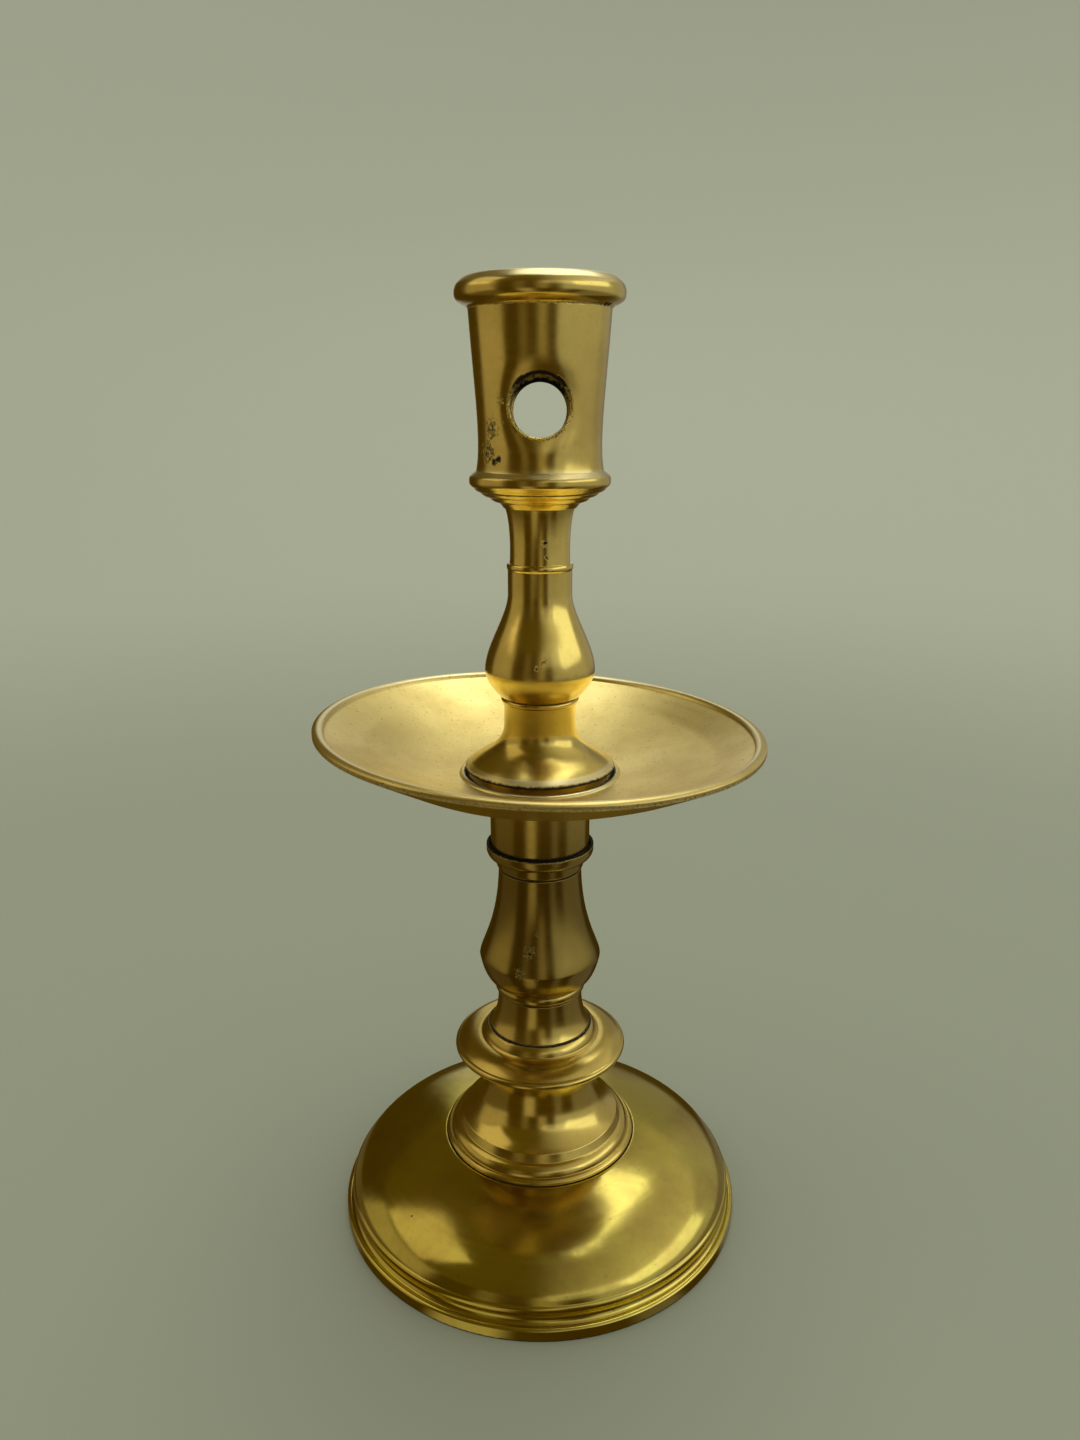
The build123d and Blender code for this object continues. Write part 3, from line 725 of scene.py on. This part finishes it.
def open_window(bm, side, radius_at, inward):
    """Opens a round hole with a rolled edge in one wall, and gives the edges of its far end."""
    block = {}
    lip_radius = WINDOW_RADIUS + WINDOW_LIP
    for vert in bm.verts:
        across = atan2(vert.co.x, side * vert.co.y) / (2 * pi) * AROUND
        up = (vert.co.z / MM - window_z) / WINDOW_HALF_HEIGHT * WINDOW_BLOCK
        flush = abs(hypot(vert.co.x, vert.co.y) / MM - radius_at(vert.co.z / MM)) < FLUSH
        if flush and max(abs(across), abs(up)) < WINDOW_BLOCK + FLUSH:
            block[vert] = (round(across), round(up))
    inner = [vert for vert, (across, up) in block.items() if max(abs(across), abs(up)) < WINDOW_RING]
    bmesh.ops.delete(bm, geom=inner, context="VERTS")
    ring = set()
    for vert, (across, up) in block.items():
        size = max(abs(across), abs(up))
        if size < WINDOW_RING:
            continue
        if size == WINDOW_RING:
            ring.add(vert)
        share = (size - WINDOW_RING) / (WINDOW_BLOCK - WINDOW_RING)
        edge_turn = across / size * WINDOW_BLOCK * 2 * pi / AROUND
        edge_z = window_z + WINDOW_HALF_HEIGHT * up / size
        edge_x = radius_at(edge_z) * sin(edge_turn)
        turn = atan2(up, across)
        hole_x = lip_radius * cos(turn)
        hole_y = side * sqrt(radius_at(window_z)**2 - hole_x**2)
        x = hole_x + (edge_x - hole_x) * share
        z = window_centre(hole_y) + lip_radius * sin(turn)
        z += (edge_z - z) * share
        vert.co = Vector((x, side * sqrt(radius_at(z)**2 - x * x), z)) * MM
    edges = [edge for edge in bm.edges if edge.is_boundary and set(edge.verts) <= ring]
    for step in range(1, WINDOW_LIP_STEPS + 1):
        bend = step / WINDOW_LIP_STEPS * pi / 2
        sink = WINDOW_LIP * (1 - cos(bend))
        radius = lip_radius - WINDOW_LIP * sin(bend)

        def depth(x, radius=radius, sink=sink):
            spread = x * lip_radius / radius
            return side * (sqrt(radius_at(window_z)**2 - spread * spread) + inward * sink)

        edges = edge_loop(bm, edges, radius, depth)
    return edges


# The stepped cone: a small cove, then three fine rings, each with its foot, top, rise and steps
CONE_FOOT_RADIUS = 7.15
CONE_RINGS = (
    ((8.4, 1.1), (9.8, 2), 0.2, 6),
    ((10.05, 2.05), (11.6, 3), 0.2, 6),
    ((11.8, 3.05), (12.85, 3.8), 0.15, 5),
)
cone_cove_top = (8.1, nozzle_z + 1.05)
nozzle = Outline((0, tenon_top_z)).line((TENON_HOLE_RADIUS, tenon_top_z), (TENON_HOLE_RADIUS, nozzle_z))
nozzle.line((CONE_FOOT_RADIUS, nozzle_z)).curve(cone_cove_top, leans=(30, 50), shares=(0.35, 0.3), steps=8)
for ring_foot, ring_top, rise, steps in CONE_RINGS:
    nozzle.line((ring_foot[0], nozzle_z + ring_foot[1]))
    nozzle.swell((ring_top[0], nozzle_z + ring_top[1]), rise, steps)

# The moulding over the cone, and the wall with its rows set to the window's
moulding_foot = (13.05, nozzle_z + 3.95)
moulding_edge = (13.68, nozzle_z + 5.2)
moulding_shoulder = (13.4, nozzle_z + 6.15)
moulding_top = (12.3, nozzle_z + 7)
nozzle.line(moulding_foot).curve(moulding_edge, leans=(55, 0), shares=(0.45, 0.45), steps=8)
nozzle.curve(moulding_shoulder, leans=(0, -52), shares=(0.4, 0.3), steps=6).line(moulding_top, wall_foot)
wall_rows = wall[WALL_ROW_STEPS::WALL_ROW_STEPS]
nozzle.line(*(point for point in wall_rows if point[1] < window_rows[0] - WALL_ROW_GAP))
nozzle.line(*((wall_radius(height), height) for height in window_rows))
nozzle.line(*(point for point in wall_rows if point[1] > window_rows[-1] + WALL_ROW_GAP))

# The banded rim and its rounded mouth, and the bore down to its floor
rim_crease = (14.2, nozzle_z + 36.6)
rim_edge = (15.9, nozzle_z + 38.7)
rim_shoulder = (15.3, top_z - 1.2)
rim_crown = (13, top_z)
mouth_foot = (BORE_RADIUS, top_z - 2.5)
nozzle.curve(rim_crease, leans=(20, 70), shares=(0.4, 0.3), steps=8)
nozzle.curve(rim_edge, leans=(62, 0), shares=(0.4, 0.5), steps=12)
nozzle.curve(rim_shoulder, leans=(0, -44), shares=(0.35, 0.35), steps=8)
nozzle.curve(rim_crown, leans=(-46, -90), shares=(0.4, 0.4), steps=16)
nozzle.curve(mouth_foot, leans=(-90, -176), shares=(0.55, 0.5), steps=12)
nozzle.line(*((BORE_RADIUS, height) for height in reversed(window_rows)))
nozzle.line((BORE_RADIUS, bore_floor_z), (0, bore_floor_z))
# Painted shade, with some dirt, in the crease under the rim and among the cone's rings
nozzle_seams = ((13.1, nozzle_z + 36.2, 0.55), (11.7, nozzle_z + 3, 0.35))
# Painted highlights, partly real wear, on the rim's top and the moulding's top
nozzle_worn_highlights = ((14.2, top_z - 0.5, 2.5), (12.9, nozzle_z + 6.7, 1.2))
nozzle_mesh = turn_on_lathe(nozzle, nozzle_seams)
for side in (-1, 1):
    outer = open_window(nozzle_mesh, side, wall_radius, -1)
    inner = open_window(nozzle_mesh, side, lambda height: BORE_RADIUS, 1)
    bmesh.ops.bridge_loops(nozzle_mesh, edges=outer + inner)

# The outer wall dips a little towards the window
OUTER_SKIN = 0.8
for vert in nozzle_mesh.verts:
    x, y, z = vert.co / MM
    off = (hypot(x, z - window_centre(y)) - WINDOW_RADIUS - WINDOW_LIP) / WINDOW_DIP_WIDTH
    if hypot(x, y) > BORE_RADIUS + OUTER_SKIN and off < 1:
        dip = WINDOW_DIP * (1 - max(0, off))**2
        vert.co *= Vector((1 - dip / hypot(x, y), 1 - dip / hypot(x, y), 1))

# The painted shade in the window's tunnel and in the socket
TUNNEL_START = BORE_RADIUS - 1
TUNNEL_END = 12
TUNNEL_SHADE = 0.95
LEAST_TUNNEL_SHADE_SHARE = 0.3
BORE_SHADE = 0.65
BORE_SHADE_LOSS = 0.35


def socket_shade(place):
    """Painted shade inside the socket, darkest at its floor, and on the window's inner edge, most of it at
    the top.
    """
    radius = hypot(place.x, place.y)
    up = place.z - window_centre(place.y)
    if TUNNEL_START < radius < TUNNEL_END and hypot(place.x, up) < WINDOW_RADIUS + WINDOW_LIP:
        return TUNNEL_SHADE * max(LEAST_TUNNEL_SHADE_SHARE, up / WINDOW_RADIUS)
    if radius < BORE_RADIUS + 0.05 and place.z > bore_floor_z - 0.1:
        return BORE_SHADE - BORE_SHADE_LOSS * (place.z - tenon_top_z) / (top_z - tenon_top_z)
    return 0


finished(
    nozzle_mesh, "windowed_candle_nozzle", brass_nozzle, "top", "candle_nozzle",
    nozzle_seams, nozzle_worn_highlights, socket_shade,
)

# Stem screw, with its thread cut right through. The ridge of one turn is spun up and then cut off level
THREAD_PITCH = 1.5
THREAD_DEPTH = 0.7
THREAD_STEPS = 32
THREAD_SPARE_TURNS = 3
CREST_FOOT = 0.56
CREST_TOP = 0.44
SCREW_WELD = 0.005
screw_foot_z = foot_of("stem_screw")
screw_top_z = top_of("stem_screw")
crest_radius = radius_of("stem_screw")
root_radius = crest_radius - THREAD_DEPTH
ridge_points = ((root_radius, 1), (crest_radius, CREST_FOOT), (crest_radius, CREST_TOP), (root_radius, 0))
screw = half_section([(radius, screw_foot_z - THREAD_PITCH * share) for radius, share in ridge_points])
turns = int((screw_top_z - screw_foot_z) / THREAD_PITCH) + THREAD_SPARE_TURNS
bmesh.ops.spin(
    screw, geom=screw.verts[:] + screw.edges[:], cent=(0, 0, 0), axis=(0, 0, 1), angle=turns * 2 * pi,
    dvec=(0, 0, THREAD_PITCH * MM / THREAD_STEPS), steps=turns * THREAD_STEPS, use_duplicate=False,
)
bmesh.ops.remove_doubles(screw, verts=screw.verts, dist=SCREW_WELD * MM)
for height, side in ((screw_foot_z, -1), (screw_top_z, 1)):
    bmesh.ops.bisect_plane(
        screw, geom=screw.verts[:] + screw.edges[:] + screw.faces[:], plane_co=(0, 0, height * MM),
        plane_no=(0, 0, side), clear_outer=True,
    )
bmesh.ops.holes_fill(screw, edges=[edge for edge in screw.edges if edge.is_boundary])
finished(screw, "threaded_stem_screw", brass_screw, "top", "stem_screw")

# Tie rod, washer and nut keep their CAD shapes
for name in ("tie_rod", "washer", "nut"):
    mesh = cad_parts[name].data
    mesh.materials.clear()
    mesh.materials.append(steel_fixings)

# Camera at the photograph's viewing angle
PHOTO_HEIGHT = 1440
FOCAL_PIXELS = 1065
CAMERA_DISTANCE = 210
CAMERA_HEIGHT = 175.3
CAMERA_PITCH = 16.35
camera_data = bpy.data.cameras.new("camera")
camera_data.sensor_width = 36
camera_data.lens = camera_data.sensor_width * FOCAL_PIXELS / PHOTO_HEIGHT
camera_data.clip_start = 0.01
camera = bpy.data.objects.new("camera", camera_data)
camera.location = (0, -CAMERA_DISTANCE * MM, CAMERA_HEIGHT * MM)
camera.rotation_euler = (radians(90 - CAMERA_PITCH), 0, 0)
bpy.context.scene.collection.objects.link(camera)
bpy.context.scene.camera = camera

# Studio: a shallow bowl of pale paper, open above
PAPER_FLAT_RADIUS = 350
PAPER_EDGE = (2600, 1500)
PAPER_STEPS = 96
PAPER_WELD = 0.01
sweep = Outline((0, 0)).line((PAPER_FLAT_RADIUS, 0))
sweep.curve(PAPER_EDGE, leans=(90, 42), shares=(0.45, 0.35), steps=48)
bm = half_section(sweep.points)
bmesh.ops.spin(
    bm, geom=bm.verts[:] + bm.edges[:], cent=(0, 0, 0), axis=(0, 0, 1), dvec=(0, 0, 0),
    angle=2 * pi, steps=PAPER_STEPS, use_merge=True, use_duplicate=False,
)
bmesh.ops.remove_doubles(bm, verts=bm.verts, dist=PAPER_WELD * MM)
floor = smooth_object(bm, "studio_sweep")

# Reflections meet a dim warm room with upright light cards, each given by its middle and half width in
# degrees of azimuth, counted from the camera to the right, its level and its tint
WARM = (1, 0.88, 0.66)
COOL = (0.97, 1.0, 1.04)
WALL_CARDS = (
    (-88, 27, 0.30, WARM), (-27, 6, 0.10, WARM), (4, 7, 0.24, WARM), (70, 43, 0.36, COOL),
    (130, 17, 0.30, COOL), (162, 16, 0.18, COOL), (-176, 12, 0.45, COOL), (184, 12, 0.45, COOL),
)
FLOOR_CARDS = ((-92, 30, 0.06, WARM), (-20, 10, 0.32, WARM), (34, 7, 0.10, COOL), (95, 32, 0.12, COOL))
CARD_FADE = 9
ROOM_TONE = linear("#463600")
SKY_TONE = linear("#4a3d00")

# The paper's tone near the object, which is darker as a painted shade, further off and on the wall, and the
# metres over which they change
NEAR_PAPER = linear("#979b83")
FAR_PAPER = linear("#b1b49b")
WALL_PAPER = linear("#bfc3aa")
NEAR_END = 0.25
FAR_START = 0.8
WALL_START = 2.4


def glow(tree, azimuth, cards):
    """Colour of the light cards that reflections meet at an azimuth."""
    total = None
    for centre, half_width, level, tint in cards:
        off = reckon(tree, "ABSOLUTE", reckon(tree, "SUBTRACT", azimuth, centre))
        edge = (half_width - CARD_FADE / 2, half_width + CARD_FADE / 2)
        lit = fade(tree, off, edge, (level, 0), smooth=True)
        tinted = add(tree, "VectorMath", {0: tint, 3: lit}, operation="SCALE").outputs[0]
        total = add(tree, "VectorMath", {0: total, 1: tinted}).outputs[0] if total else tinted
    return total


# Matt grey-green paper, which gives the eye a plain pale ground with the object's shadow on it
paper, tree = new_material("pale_grey_green_paper")
place = add(tree, "TexCoord").outputs["Object"]
split = add(tree, "SeparateXYZ", {0: place})
ahead = reckon(tree, "MULTIPLY", split.outputs[1], -1)
azimuth = reckon(tree, "DEGREES", reckon(tree, "ARCTAN2", split.outputs[0], ahead))
distance = add(tree, "VectorMath", {0: place}, operation="LENGTH").outputs["Value"]
far = fade(tree, distance, (NEAR_END, FAR_START), smooth=True)
cards = blend(tree, far, glow(tree, azimuth, FLOOR_CARDS), glow(tree, azimuth, WALL_CARDS), "VECTOR")
room = add(tree, "Emission", {"Color": ROOM_TONE, "Strength": 1.0})
lit_cards = add(tree, "Emission", {"Color": cards, "Strength": 1.0})
reflected = add(tree, "AddShader", {0: room.outputs[0], 1: lit_cards.outputs[0]})
tone = blend(tree, far, NEAR_PAPER, FAR_PAPER)
tone = blend(tree, fade(tree, distance, (FAR_START, WALL_START)), tone, WALL_PAPER)
matt = add(tree, "BsdfPrincipled", {"Base Color": tone, "Roughness": 0.9})
seen = add(tree, "LightPath").outputs["Is Glossy Ray"]
mixed = add(tree, "MixShader", {0: seen, 1: matt.outputs[0], 2: reflected.outputs[0]})
add(tree, "OutputMaterial", {"Surface": mixed.outputs[0]})
floor.data.materials.append(paper)

# Sky: even daylight on the paper, and the same dim room for reflections, brighter to the right
DAYLIGHT = 0.71
SKY_LEVEL = 1.3
GLIMMER_SPAN = (-0.05, 0.9)
GLIMMER_LEVEL = 0.62
world = bpy.data.worlds.new("studio")
bpy.context.scene.world = world
world.use_nodes = True
tree = world.node_tree
tree.nodes.clear()
seen = add(tree, "LightPath").outputs["Is Glossy Ray"]
daylight = add(tree, "Background", {"Color": (1, 1, 1, 1), "Strength": DAYLIGHT})
to_right = add(tree, "SeparateXYZ", {0: add(tree, "TexCoord").outputs["Generated"]}).outputs[0]
glimmer = fade(tree, to_right, GLIMMER_SPAN, (0, GLIMMER_LEVEL))
dim = add(tree, "Background", {"Color": SKY_TONE, "Strength": SKY_LEVEL})
brighter = add(tree, "Background", {"Color": (1, 1, 1, 1), "Strength": glimmer})
room = add(tree, "AddShader", {0: dim.outputs[0], 1: brighter.outputs[0]})
mixed = add(tree, "MixShader", {0: seen, 1: daylight.outputs[0], 2: room.outputs[0]})
add(tree, "OutputWorld", {"Surface": mixed.outputs[0]})

LAMP_AIM = 0.1


def softbox(name, azimuth, height, half_width, half_tall, level, tint, distance=1.5):
    """A soft lamp that faces the stem. Its place and size are angles, its level is how bright it looks."""
    lamp_data = bpy.data.lights.new(name, "AREA")
    lamp_data.shape = "RECTANGLE"
    lamp_data.size = 2 * distance * tan(radians(half_width))
    lamp_data.size_y = 2 * distance * tan(radians(half_tall))
    lamp_data.energy = level * pi * lamp_data.size * lamp_data.size_y
    lamp_data.color = tint
    lamp = bpy.data.objects.new(name, lamp_data)
    turn = radians(azimuth)
    climb = radians(height)
    place = Vector((sin(turn) * cos(climb), -cos(turn) * cos(climb), sin(climb))) * distance
    lamp.location = place + Vector((0, 0, LAMP_AIM))
    lamp.rotation_euler = place.to_track_quat("Z", "Y").to_euler()
    lamp.visible_camera = False
    bpy.context.scene.collection.objects.link(lamp)


softbox("softbox_overhead", azimuth=160, height=70, half_width=17, half_tall=22, level=1.7, tint=COOL)
softbox("softbox_right", azimuth=76, height=22, half_width=28, half_tall=10, level=0.85, tint=COOL)
softbox(
    "softbox_left", azimuth=-90, height=42, half_width=18, half_tall=17, level=0.55, tint=WARM, distance=0.6
)
softbox("softbox_back", azimuth=178, height=36, half_width=8, half_tall=9, level=0.6, tint=COOL)
softbox("softbox_front", azimuth=28, height=25, half_width=22, half_tall=8, level=0.3, tint=COOL)

bpy.context.scene.view_settings.view_transform = "Standard"
